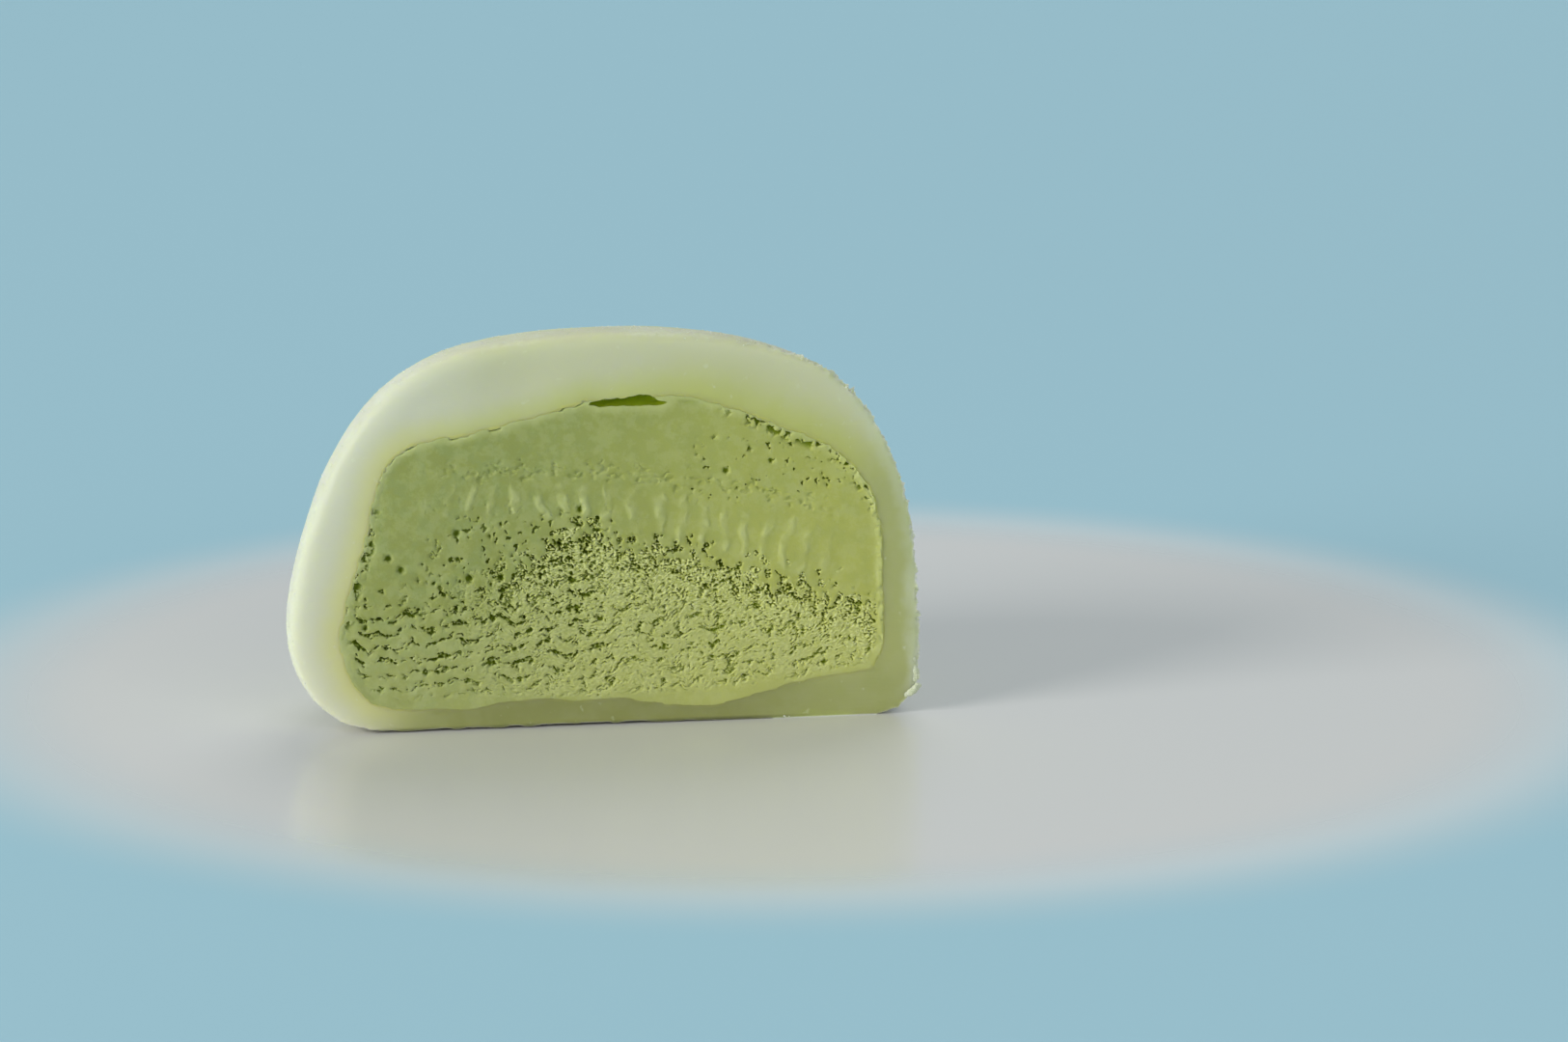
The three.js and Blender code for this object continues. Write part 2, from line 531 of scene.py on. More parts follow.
def skinLumps():
    geometry = startGeometryNodes("skinLumps")
    normal = surfaceNormal()
    place = placeInMillimetres()
    x, y, z = split(place)
    edge = product(ramp(split(normal)["Y"], -0.93, -0.6), ramp(y, cutMm + 2.2, cutMm + 0.4))
    clumped = ramp(noise(place, 1.6, 1.0, shift=(2, 2, 9)), 0.42, 0.6, 0.35, 1.0)
    frost = product(uneven(place, skin["frostSize"], skin["frostLumps"], 2.0, (5, 0, 5)), edge, clumped,
                    ramp(x, 7.0, 17.0), ramp(z, 0.2, 0.8))
    push = scaled(normal, product(total(lumps(place), frost), mm))

    # along the cut the base lifts a little off the table
    lift = product(ramp(z, 0.9, 0.0), ramp(y, cutMm + 3.0, cutMm + 0.6), ramp(x, 13.0, 2.0),
                   ramp(noise(place, 1.8, 2.0, shift=(3, 9, 9)), 0.36, 0.6, 0.5, 1.0), skin["lift"] * mm)
    rise = addNode("ShaderNodeCombineXYZ", {2: lift}).outputs[0]
    return finishNodes(movePoints(geometry, vectorCalc("ADD", push, rise)))


def skinMasks(body):
    # nearFilling and nearEdge are distances to the filling and to the bun's own surface, where outside is 1
    geometry = startGeometryNodes("skinMasks")
    facing = ramp(split(surfaceNormal())["Y"], -0.93, -0.55)
    behind = ramp(split(placeInMillimetres())["Y"], cutMm + 0.35, cutMm + 1.2)
    near = distanceTo(meshOfPiece(body))
    outside = product(calc("MAXIMUM", facing, behind), ramp(near, 0.4, 1.0))
    fromEdge = distanceTo(facesWhere(geometry, calc("GREATER_THAN", outside, 0.5)))
    for name, value in (("nearEdge", fromEdge), ("nearFilling", near), ("outside", outside)):
        geometry = storeNumber(geometry, name, value)
    return finishNodes(geometry)


# The ice cream. Lengths in its relief are in millimetres.

cream = {
    "cell": 0.055 * mm,           # of the cut face, before it is thinned
    "beside": 4 * mm, "above": 3 * mm, "behind": 3 * mm,    # how much larger than the filling the block is
    "triangles": 192000, "smoothAngle": 70,
}
relief = {
    "rippleWidth": 1.75, "rippleDepth": 0.11, "dashDepth": 0.12,
    "pitSpacing": 0.86, "pitDepth": 0.36, "smallestPit": 0.10, "pitRange": 0.28,
    "pitChance": 0.20, "strayChance": 0.07,
    "crumb": 0.175, "crumbDepth": 0.27, "grit": 0.06,
    "clusterSize": 0.85, "clusterDepth": 0.34,
    "tearSpacing": 1.1, "tearBead": 0.26, "tearDepth": 0.36,
    "lip": 0.09, "speckDepth": 0.36, "gapDepth": 0.32, "hollowDepth": 0.12, "sunkenDepth": 0.07,
}
# Heights over the width, both as shares of the filling: the ripples' row, and where the foam starts to tear.
rippleRow = [(0, 0.685), (0.3, 0.68), (0.47, 0.672), (0.56, 0.64), (0.645, 0.61), (0.75, 0.58), (0.83, 0.53),
             (1, 0.46)]
tornFront = [(0, 0.42), (0.2, 0.42), (0.29, 0.45), (0.366, 0.52), (0.42, 0.59), (0.5, 0.55), (0.6, 0.505),
             (0.713, 0.46), (0.827, 0.395), (1, 0.30)]


def makeIceCream(body, cutter):
    applyModifier(body, "DISPLACE", strength=filling["intoDough"], mid_level=0)
    width, height = coreHigh.x - coreLow.x + cream["beside"], coreHigh.z - coreLow.z + cream["above"]
    bpy.ops.mesh.primitive_grid_add(x_subdivisions=round(width / cream["cell"]),
                                    y_subdivisions=round(height / cream["cell"]), size=1)
    piece = bpy.context.object
    piece.name = "ice_cream"
    editAll(piece)
    bpy.ops.transform.resize(value=(width, height, 1))
    bpy.ops.transform.rotate(value=math.radians(90), orient_axis="X", center_override=(0, 0, 0))
    middle = ((coreLow.x + coreHigh.x) / 2, cutY, (coreLow.z + coreHigh.z) / 2)
    bpy.ops.transform.translate(value=middle)
    depth = coreHigh.y - cutY + cream["behind"]
    bpy.ops.mesh.extrude_region_move(TRANSFORM_OT_translate={"value": (0, depth, 0)})
    leaveEditing()
    applyModifier(piece, "BOOLEAN", operation="INTERSECT", object=body, solver="MANIFOLD")
    applyModifier(piece, "BOOLEAN", operation="DIFFERENCE", object=cutter, solver="MANIFOLD")
    outline = wobble("fineOutline", filling["fineLumps"], filling["fineUnevenness"])
    applyModifier(piece, "NODES", node_group=outline)
    applyModifier(piece, "NODES", node_group=creamRelief())
    before = countTriangles(piece)
    applyModifier(piece, "DECIMATE", ratio=cream["triangles"] / before)
    mendSlivers(piece)
    bpy.ops.object.shade_smooth_by_angle(angle=math.radians(cream["smoothAngle"]))
    print("ice cream:", before, "triangles thinned to", countTriangles(piece))
    return piece


def mendSlivers(piece):
    # thinning can fold a sliver along the rim: it is cut out and the hole is closed
    editNone(piece)
    bpy.ops.mesh.select_non_manifold()
    bpy.ops.mesh.delete(type="VERT")
    bpy.ops.mesh.select_non_manifold()
    bpy.ops.mesh.fill_holes(sides=0)
    leaveEditing()


def curveOver(value, points):
    made = addNode("ShaderNodeFloatCurve", {"Value": value})
    line = made.mapping.curves[0]
    line.points[0].location, line.points[-1].location = points[0], points[-1]
    for x, y in points[1:-1]:
        line.points.new(x, y)
    made.mapping.update()
    return made.outputs[0]


def readSpot(geometry):
    # all that the relief asks about a point of the cut face; across and up are shares of the filling
    place = placeInMillimetres()
    x, y, z = split(place)
    height = (coreHigh.z - coreLow.z) / mm
    spot = SimpleNamespace(place=place, x=x, y=y)
    spot.across = calc("DIVIDE", minus(x, coreLow.x / mm), (coreHigh.x - coreLow.x) / mm)
    spot.above = minus(z, coreLow.z / mm)
    spot.up = calc("DIVIDE", spot.above, height)

    # how far in from the filling's own outline
    sides = calc("GREATER_THAN", split(surfaceNormal())["Y"], -0.8)
    spot.inset = distanceTo(facesWhere(geometry, sides))

    # a jagged copy of the place, for edges that look torn, and one that is only shaken a little
    fray = addNode("ShaderNodeTexNoise", {"Vector": place, "Scale": 1 / 0.26, "Detail": 2.0}).outputs["Color"]
    spot.frayed = vectorCalc("MULTIPLY_ADD", fray, (0.34, 0, 0.34), place)
    spot.shaken = vectorCalc("MULTIPLY_ADD", fray, (0.16, 0, 0.16), place)

    # how far under the uneven line where the foam starts to tear
    ragged = total(uneven(spot.frayed, 2.0, 3.6, 2.0), uneven(spot.frayed, 0.75, 8.5, 1.0, (3, 0, 8)))
    line = product(curveOver(spot.across, tornFront), height)
    spot.under = minus(total(line, ragged), spot.above)
    spot.low = total(spot.above, uneven(place, 2.0, 2.0, 3.0, (8, 0, 3)))
    spot.layers, spot.layer = layersOf(spot)
    return spot


def layersOf(spot):
    # place along and across the layers, which rise more steeply towards the right
    fromLeft = total(spot.x, 15.0)
    rise = total(product(spot.x, 0.05), product(fromLeft, fromLeft, 0.0044))
    swaying = noise(spot.place, 2.2, 2.0, 0.5, (1, 1, 3), (6, 1, 1))
    shaken = split(spot.shaken)
    layer = total(minus(shaken["Z"], rise), product(minus(swaying, 0.5), 2.4))
    return addNode("ShaderNodeCombineXYZ", {0: shaken["X"], 2: layer}).outputs[0], layer


def gentleRise(spot):
    rise = total(uneven(spot.place, 5, 0.16), uneven(spot.place, 1.3, 0.07, 2.0),
                 uneven(spot.place, 0.35, 0.03, 2.0))
    return product(rise, ramp(spot.inset, 0.1, 1.2))


def ripples(spot):
    # knife chatter: a row of tall soft drops, and above it a row of short dashes, both falling to the right
    lean = product(minus(spot.up, 0.55), ramp(spot.across, 0.55, 0.9, 0.5, 5.0))
    phase = total(minus(spot.x, lean), uneven(spot.place, 5.0, 2.2, 0.0), uneven(spot.place, 1.2, 0.75, 0.0))
    wave = calc("SINE", product(phase, 2 * math.pi / relief["rippleWidth"]))
    row = curveOver(spot.across, rippleRow)
    fromRow = total(minus(spot.up, row), uneven(spot.place, 1.0, 0.16, 1.0, (1, 4, 2)))
    fromFoot = minus(fromRow, ramp(spot.across, 0.5, 0.85, -0.075, -0.13))
    tallRow = product(ramp(fromRow, 0.07, 0.01), ramp(fromFoot, 0.0, 0.05))
    patchy = ramp(noise(spot.place, 1.1, 1.0, shift=(5, 5, 5)), 0.40, 0.60, 0.35, 1.0)
    quieter = ramp(spot.across, 0.60, 0.80, 1.0, 0.8)
    ends = product(ramp(spot.across, 0.08, 0.3), ramp(spot.across, 0.96, 0.84, 0.0, 1.0))
    drops = product(ramp(wave, -0.1, 1.0), tallRow, patchy, quieter, ends)
    dashes = noise(spot.place, 0.34, 1.0, 0.5, (1.2, 1, 0.9), (3, 3, 3))
    fromDashes = minus(fromRow, ramp(spot.across, 0.3, 0.9, 0.098, 0.13))
    shortRow = product(ramp(fromDashes, -0.028, -0.004), ramp(fromDashes, 0.03, 0.006))
    dents = product(ramp(dashes, 0.52, 0.36), shortRow, -relief["dashDepth"])
    return total(product(drops, relief["rippleDepth"]), product(dents, ends)), drops


def pits(spot):
    # round pits of many sizes, most of them left of the torn zone and few above it
    frayed = split(spot.frayed)
    flat = addNode("ShaderNodeCombineXYZ", {0: frayed["X"], 1: frayed["Z"]}).outputs[0]
    cells = addNode("ShaderNodeTexVoronoi", {"Vector": flat, "Scale": 1 / relief["pitSpacing"]},
                    voronoi_dimensions="2D")
    chance = split(cells.outputs["Color"])
    inBand = product(ramp(spot.up, 0.24, 0.34), ramp(spot.up, 0.74, 0.50))
    holes = product(inBand, ramp(spot.across, 0.52, 0.40), relief["pitChance"])
    stray = product(ramp(spot.up, 0.62, 0.72), ramp(spot.up, 0.9, 0.8), ramp(spot.across, 0.58, 0.72),
                    relief["strayChance"])
    wanted = calc("GREATER_THAN", total(holes, stray), chance["X"])
    radius = total(relief["smallestPit"], product(calc("POWER", chance["Y"], 2.2), relief["pitRange"]))
    away = product(cells.outputs["Distance"], relief["pitSpacing"])
    hole = product(ramp(calc("DIVIDE", away, radius), 1.3, 0.1), wanted)

    # and ragged clumps of them, at the left and at the top right
    ragged = noise(spot.frayed, 0.42, 2.0, 0.5, shift=(6, 2, 3))
    gathered = ramp(noise(spot.place, 1.2, 1.0, shift=(2, 5, 8)), 0.42, 0.58, -0.08, 0.04)
    rarer = ramp(spot.across, 0.5, 0.6, 0.0, -0.045)
    leftPatch = product(inBand, ramp(spot.across, 0.10, 0.24), ramp(spot.across, 0.54, 0.42))
    topPatch = product(ramp(spot.up, 0.64, 0.70), ramp(spot.up, 0.90, 0.84), ramp(spot.across, 0.62, 0.70))
    clumps = product(ramp(total(ragged, gathered, rarer), 0.625, 0.67), total(leftPatch, topPatch))
    return product(calc("MAXIMUM", hole, clumps), ramp(spot.inset, 0.3, 0.7), -relief["pitDepth"])


def crumbs(spot):
    # pale crumbs with dark gaps: loose at the front, drawn out along the layers and calmer further down
    loose = noise(spot.shaken, relief["crumb"], 2.0, 0.5, (1.1, 1, 0.9), (9, 2, 4))
    flat = noise(spot.layers, relief["crumb"], 2.0, 0.5, (1.8, 1, 0.8), (2, 2, 7))
    deeper = ramp(spot.under, 0.6, 3.6)
    shallower = inverse(deeper)
    blend = minus(total(product(loose, shallower), product(flat, deeper)), 0.5)
    spread = total(product(deeper, shallower, 1.6), 1.0)
    foam = total(product(blend, spread), 0.5)
    level = total(ramp(spot.under, 5.0, 0.2, 0.378, 0.468), uneven(spot.place, 0.8, 0.6, 1.0, (1, 6, 6)),
                  ramp(spot.across, 0.72, 0.9, 0.0, -0.03))
    gaps = ramp(minus(foam, level), 0.01, -0.065)
    depth = ramp(spot.under, 7.5, 1.2, 0.4, 1.0)
    crown = product(ramp(foam, 0.46, 0.64, 0.0, 0.06), depth)
    grit = uneven(spot.place, 0.15, relief["grit"], 1.0, (4, 4, 1))

    # larger openings between clusters near the front
    clumps = noise(spot.shaken, relief["clusterSize"], 2.0, 0.5, (1.2, 1, 0.8), (2, 8, 5))
    openings = ramp(minus(ramp(spot.under, 2.3, 0.4, 0.36, 0.54), clumps), -0.02, 0.07)
    height = total(product(gaps, depth, -relief["crumbDepth"]), crown, grit,
                   product(openings, ramp(foam, 0.36, 0.6, -relief["clusterDepth"], -0.1)))
    # paleness: paler crumb tops, partly their own colour, partly painted highlight
    paleness = product(ramp(foam, 0.45, 0.62), ramp(spot.under, 6.0, 1.5, 0.45, 1.0),
                       ramp(openings, 0, 1, 1.0, 0.3))
    return height, paleness


def tears(spot):
    # rows of small dark holes along the layers, and thinner cracks towards the right
    beads = noise(spot.layers, relief["tearBead"], 2.0, 0.55, (1.9, 1, 0.95), (5, 5, 2))
    lines = product(calc("COSINE", product(spot.layer, 2 * math.pi / relief["tearSpacing"])),
                    ramp(spot.across, 0.35, 0.6, 0.13, 0.11))
    patches = uneven(spot.layers, 1.3, 0.75, 1.0, (3, 9, 1))
    level = ramp(spot.across, 0.22, 0.6, 0.62, 0.64)
    holes = ramp(minus(total(beads, lines, patches), level), -0.02, 0.07)
    calmer = inverse(product(ramp(spot.across, 0.24, 0.38, 0.0, 0.9), ramp(spot.under, 4.6, 2.0)))
    floors = ramp(noise(spot.place, 0.22, 1.0, 0.5, shift=(3, 3, 1)), 0.36, 0.62, 0.5, 1.2)
    fading = calc("MAXIMUM", ramp(spot.low, 0.5, 4.5, 0.35, 1.0), ramp(spot.across, 0.4, 0.6, 0.0, 0.8))
    return product(holes, ramp(spot.under, 0.2, 1.5), fading, calmer, floors,
                   ramp(spot.across, 0.4, 0.6, -relief["tearDepth"], -0.7 * relief["tearDepth"]))


def rimSpecks(spot):
    # small dark specks along the upper right rim, and a few down the left one
    band = product(ramp(spot.inset, 1.1, 0.3), ramp(spot.inset, 0.04, 0.16))
    right = product(ramp(spot.across, 0.68, 0.76), ramp(spot.up, 0.58, 0.68))
    left = product(ramp(spot.across, 0.2, 0.12), ramp(spot.up, 0.22, 0.34), ramp(spot.up, 0.72, 0.6), 0.8)
    grain = noise(spot.frayed, 0.68, 3.0, 0.6, shift=(2, 6, 6))
    return product(band, total(right, left), ramp(grain, 0.485, 0.42), -relief["speckDepth"])


def rims(spot):
    # the right rim is a thin raised lip with notches; at the top left a thin gap opens here and there
    lip = product(ramp(spot.inset, 0.55, 0.15), ramp(spot.across, 0.86, 0.95), ramp(spot.up, 0.1, 0.2),
                  ramp(noise(spot.place, 0.5, 1.0), 0.38, 0.5), relief["lip"])
    opened = ramp(noise(spot.place, 1.3, 1.0, shift=(7, 7, 7)), 0.54, 0.66)
    gap = product(ramp(spot.inset, 0.30, 0.1), ramp(spot.up, 0.74, 0.82), ramp(spot.across, 0.48, 0.42),
                  opened, -relief["gapDepth"])

    # a soft hollow right of the slit, and a rim that has sunk unevenly below the dough at the left
    hollow = product(ramp(spot.inset, 0.95, 0.4), ramp(spot.inset, 0.12, 0.35), ramp(spot.up, 0.88, 0.94),
                     ramp(spot.across, 0.615, 0.635), ramp(spot.across, 0.70, 0.65), -relief["hollowDepth"])
    sag = ramp(noise(spot.place, 1.5, 2.0, shift=(8, 3, 8)), 0.36, 0.60, 0.15, 1.0)
    sunken = product(ramp(spot.inset, 1.4, 0.4), ramp(spot.inset, 0.1, 0.4), ramp(spot.across, 0.22, 0.08),
                     sag, -relief["sunkenDepth"])
    return total(lip, gap, hollow, sunken)


def creamRelief():
    geometry = startGeometryNodes("creamRelief")
    spot = readSpot(geometry)
    torn = ramp(spot.under, -0.1, 0.25)
    crumbly = product(ramp(spot.across, 0.14, 0.42), torn)
    rim = total(ramp(spot.across, 0.15, 0.3, 0.9, 0.25), ramp(spot.across, 0.84, 0.94, 0.0, 0.4))
    low = minus(spot.low, ramp(spot.across, 0.45, 0.75, 0.0, 0.5))
    calm = product(ramp(calc("DIVIDE", spot.inset, rim), 0.5, 1.2), ramp(low, 0.3, 1.5))
    height, paleness = crumbs(spot)
    foam = product(height, crumbly)
    opened = total(foam, product(tears(spot), ramp(foam, -0.3, 0.0)))
    rippled, drops = ripples(spot)
    raised = total(gentleRise(spot), rippled, pits(spot), product(opened, calm), rimSpecks(spot), rims(spot),
                   filling["proud"])

    # what the material reads, which is nothing behind the cut face
    atFront = calc("LESS_THAN", spot.y, cutMm + 0.01)
    fromRim = total(spot.inset, uneven(spot.place, 0.5, 0.8, 2.0, (1, 1, 6)))
    stored = {
        "relief": raised, "torn": crumbly, "drops": drops,
        "crumbs": product(paleness, crumbly, calm),
        "deep": ramp(spot.under, 0.8, 5.5),
        # rim: a paler band along the outline, partly its own colour, partly painted light for light lost into
        # the hidden sides
        "rim": product(ramp(fromRim, 0.75, 0.0), ramp(spot.up, 0.06, 0.2),
                       ramp(spot.across, 0.3, 0.55, 1.0, 0.7)),
    }
    for name, value in stored.items():
        geometry = storeNumber(geometry, name, product(value, atFront))
    outward = total(raised, lumps(spot.place))
    push = addNode("ShaderNodeCombineXYZ", {1: product(outward, -mm)}).outputs[0]
    return finishNodes(movePoints(geometry, push, Selection=atFront))


# Starch: loose grains all over the outside, and a few larger flakes of it.

starch = {
    "density": 9.5e6,             # grains on each square metre where they lie thickest
    "smallest": 0.022 * mm, "largest": 0.066 * mm,
    "rarity": 2.5,                # the higher, the fewer large ones
    "stretch": (0.7, 1.3), "turn": 6.2,          # least and most, and the widest turn in radians
    "seed": 4, "sizeSeed": 11, "turnSeed": 12, "shapeSeed": 13,
}
flakes = {
    "subdivisions": 2, "radius": 0.5 * mm,       # of the ball that each is made from
    "places": [                   # beside the middle, above the table, width, height (mm) and turn (degrees)
        (24.02, 3.22, 0.50, 1.30, 12), (23.92, 2.80, 0.44, 0.80, 16), (23.76, 1.86, 1.50, 0.62, 36),
        (23.50, 1.64, 1.05, 0.56, 28), (24.00, 2.04, 0.64, 0.56, 10), (23.84, 4.3, 0.30, 0.50, 0),
        (24.02, 11.6, 0.16, 0.16, 0), (24.05, 7.4, 0.13, 0.22, 10), (13.8, 0.16, 0.30, 0.20, 0),
        (14.1, 0.14, 0.2, 0.14, 0), (0.6, 1.2, 0.10, 0.10, 0), (16.2, 2.9, 0.12, 0.2, 0),
    ],
    "thickness": 0.5,             # as a share of the width
    "crumple": 0.16 * mm, "proud": 0.05 * mm, "voxel": 0.04 * mm,
    "raggedLumps": 0.2, "raggedness": 0.10, "smoothAngle": 40,
}


def randomTriple(low, high, seed):
    return addNode("FunctionNodeRandomValue", {0: (low,) * 3, 1: (high,) * 3, "Seed": seed},
                   data_type="FLOAT_VECTOR").outputs[0]


def scatterGrains(doughSkin, grain):
    startGeometryNodes("scatterGrains")
    place = placeInMillimetres()
    x, y, z = split(place)
    outside = addNode("GeometryNodeInputNamedAttribute", {"Name": "outside"},
                      data_type="FLOAT").outputs["Attribute"]
    patches = ramp(noise(place, 3.0, 3.0, 0.6), 0.40, 0.62, 0.15, 1.0)
    low = ramp(z, 9.0, 1.0, 0.45, 1.0)
    edge = product(ramp(y, cutMm + 1.8, cutMm + 0.3), ramp(x, 2.0, 12.0), 1.3)
    thick = product(ramp(outside, 0.15, 0.75), total(product(patches, low), edge), ramp(z, 0.3, 0.6))
    points = addNode("GeometryNodeDistributePointsOnFaces",
                     {"Mesh": meshOfPiece(doughSkin), "Density": product(thick, starch["density"]),
                      "Seed": starch["seed"]}, distribute_method="RANDOM")
    luck = addNode("FunctionNodeRandomValue", {2: 0.0, 3: 1.0, "Seed": starch["sizeSeed"]},
                   data_type="FLOAT").outputs[1]
    size = ramp(calc("POWER", luck, starch["rarity"]), 0, 1, starch["smallest"], starch["largest"])
    placed = addNode("GeometryNodeInstanceOnPoints", {
        "Points": points.outputs["Points"], "Instance": meshOfPiece(grain),
        "Rotation": randomTriple(0, starch["turn"], starch["turnSeed"]),
        "Scale": scaled(randomTriple(*starch["stretch"], starch["shapeSeed"]), size),
    })
    return finishNodes(addNode("GeometryNodeRealizeInstances", {0: placed.outputs[0]}).outputs[0])


def makeGrains(doughSkin):
    bpy.ops.mesh.primitive_ico_sphere_add(subdivisions=1, radius=1)
    grain = bpy.context.object
    bpy.ops.mesh.primitive_ico_sphere_add(subdivisions=1, radius=1 * mm)
    piece = bpy.context.object
    piece.name = "starch_grains"
    applyModifier(piece, "NODES", node_group=scatterGrains(doughSkin, grain))
    remove(grain)
    selectOnly(piece)
    bpy.ops.object.shade_smooth()
    print("starch grains:", countTriangles(piece), "triangles")
    return piece


def makeFlakes():
    parts = []
    for number, (beside, above, width, height, turn) in enumerate(flakes["places"]):
        bpy.ops.mesh.primitive_ico_sphere_add(subdivisions=flakes["subdivisions"], radius=flakes["radius"])
        flake = bpy.context.object
        editAll(flake)
        bpy.ops.transform.vertex_random(offset=flakes["crumple"], seed=number)
        bpy.ops.transform.resize(value=(width, flakes["thickness"] * width, height))
        bpy.ops.transform.rotate(value=math.radians(turn), orient_axis="Y", center_override=(0, 0, 0))
        bpy.ops.transform.translate(value=(beside * mm, cutY + flakes["proud"], above * mm))
        leaveEditing()
        parts.append(flake)
    piece = joinParts(parts, "starch_flakes")
    applyModifier(piece, "REMESH", mode="VOXEL", voxel_size=flakes["voxel"])
    ragged = wobble("raggedFlakes", flakes["raggedLumps"], flakes["raggedness"])
    applyModifier(piece, "NODES", node_group=ragged)
    bpy.ops.object.shade_smooth_by_angle(angle=math.radians(flakes["smoothAngle"]))
    print("starch flakes:", countTriangles(piece), "triangles")
    return piece


# Materials. Each bump is given as its strength and its distance, and lengths are in metres.

def fineGrain():
    # speckle that every finish here shares: a mask between two noise levels, and a height for bump
    group = startTree(bpy.data.node_groups.new("fineGrain", "ShaderNodeTree"))
    group.interface.new_socket("Place", in_out="INPUT", socket_type="NodeSocketVector")
    for name in ("Fineness", "Low", "High"):
        group.interface.new_socket(name, in_out="INPUT", socket_type="NodeSocketFloat")
    for name in ("Mask", "Height"):
        group.interface.new_socket(name, in_out="OUTPUT", socket_type="NodeSocketFloat")
    given = addNode("NodeGroupInput").outputs
    result = addNode("NodeGroupOutput").inputs
    finePlace = scaled(given["Place"], given["Fineness"])
    speckle = addNode("ShaderNodeTexNoise", {"Vector": finePlace, "Scale": 1.0, "Detail": 3.0,
                                             "Roughness": 0.6}).outputs[0]
    link(ramp(speckle, given["Low"], given["High"]), result["Mask"])
    link(speckle, result["Height"])
    return group


def placeGrain(group, place, size, low, high):
    made = addNode("ShaderNodeGroup", {"Place": place, "Fineness": 1 / size, "Low": low, "High": high},
                   node_tree=group)
    return made.outputs["Mask"], made.outputs["Height"]


def attribute(name):
    return addNode("ShaderNodeAttribute", attribute_name=name).outputs["Fac"]


def addBump(shader, height, bump, under=None):
    sockets = {"Height": height, "Strength": bump[0], "Distance": bump[1]}
    if under is not None:
        sockets["Normal"] = under
    normal = addNode("ShaderNodeBump", sockets).outputs[0]
    link(normal, shader.inputs["Normal"])
    return normal


def setScatter(shader, radius, scale):
    shader.inputs["Subsurface Weight"].default_value = 1.0
    shader.inputs["Subsurface Radius"].default_value = radius
    shader.inputs["Subsurface Scale"].default_value = scale


dough = {
    "pale": (0.615, 0.62, 0.475, 1), "paleTop": (0.575, 0.58, 0.37, 1),
    "yellow": (0.535, 0.56, 0.20, 1),            # painted light round the filling, where its colour shows through the dough
    # the painted glow: darker at the right, in shade, and paler at the left, in the light
    "yellowShaded": (0.48, 0.505, 0.135, 1), "yellowLit": (0.62, 0.62, 0.26, 1),
    "oliveShade": (0.395, 0.42, 0.15, 1),             # painted shade on the right wall of the cut
    "lowOliveShade": (0.27, 0.285, 0.085, 1),         # painted shade under the ice cream, and there at the right
    "lowOliveShadeRight": (0.36, 0.385, 0.135, 1),
    # painted contact shadow under the base where it lifts off the table
    "underside": (0.12, 0.13, 0.04, 1),
    "frost": (0.56, 0.60, 0.42, 1),              # where starch clings along the cut's outer edge
    # painted shade inside the slit, in the saturated green of light coming through the dough
    "pocket": (0.31, 0.40, 0.0, 1),
    "seam": (0.74, 0.76, 0.10, 1),               # painted light that lifts the thin dark line where dough meets ice cream
    "green": (0.53, 0.585, 0.29, 1),             # its outside, and the powder on that
    "powder": (0.68, 0.71, 0.55, 1),
    "scatterRadius": (1.0, 1.1, 0.5), "scatter": 1.5 * mm,
    "cutRoughness": 0.46, "outerRoughness": 0.78,
    "strokeSize": 0.16 * mm, "strokeBump": (0.22, 0.05 * mm),
    "dustSize": 0.3 * mm, "dustBump": (0.36, 0.09 * mm),
}


